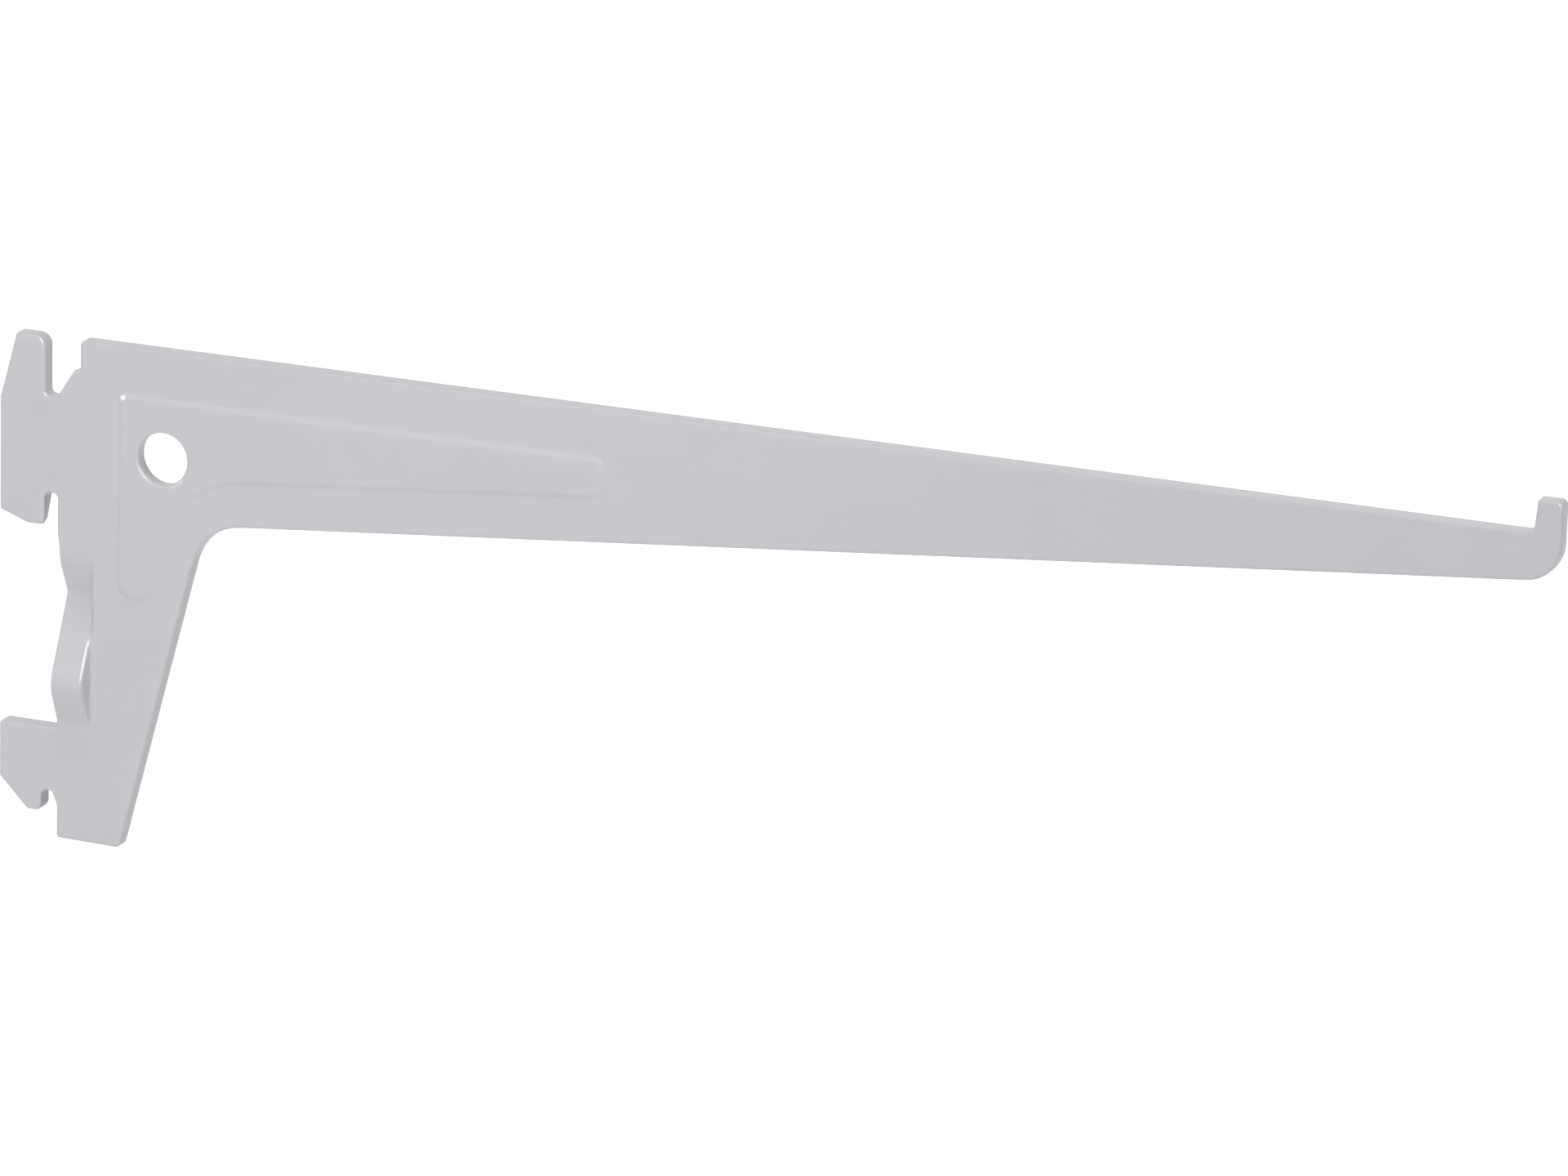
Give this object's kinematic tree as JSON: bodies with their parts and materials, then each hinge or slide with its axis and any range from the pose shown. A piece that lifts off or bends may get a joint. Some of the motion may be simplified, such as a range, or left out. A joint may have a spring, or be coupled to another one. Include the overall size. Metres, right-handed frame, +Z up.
{
  "type": "slotted shelf bracket",
  "caption": "Pressed steel shelf bracket: tapered arm with an upturned nose, leaning leg, slot hooks on the back edge and a wavy edge between them.",
  "frame": {"origin": "middle of the upper face of the back edge that bears on the rail, between the upper hook and the wave, at half the sheet's thickness", "axes": "+X from the rail out along the arm to the nose, +Y through the sheet towards its back, +Z up"},
  "size_m": [0.2608, 0.0087, 0.089],
  "materials": {
    "powder_coated_steel": "satin powder coat"
  },
  "bodies": {
    "root": {"bracket_plate": "powder_coated_steel"}
  },
  "joints": []
}
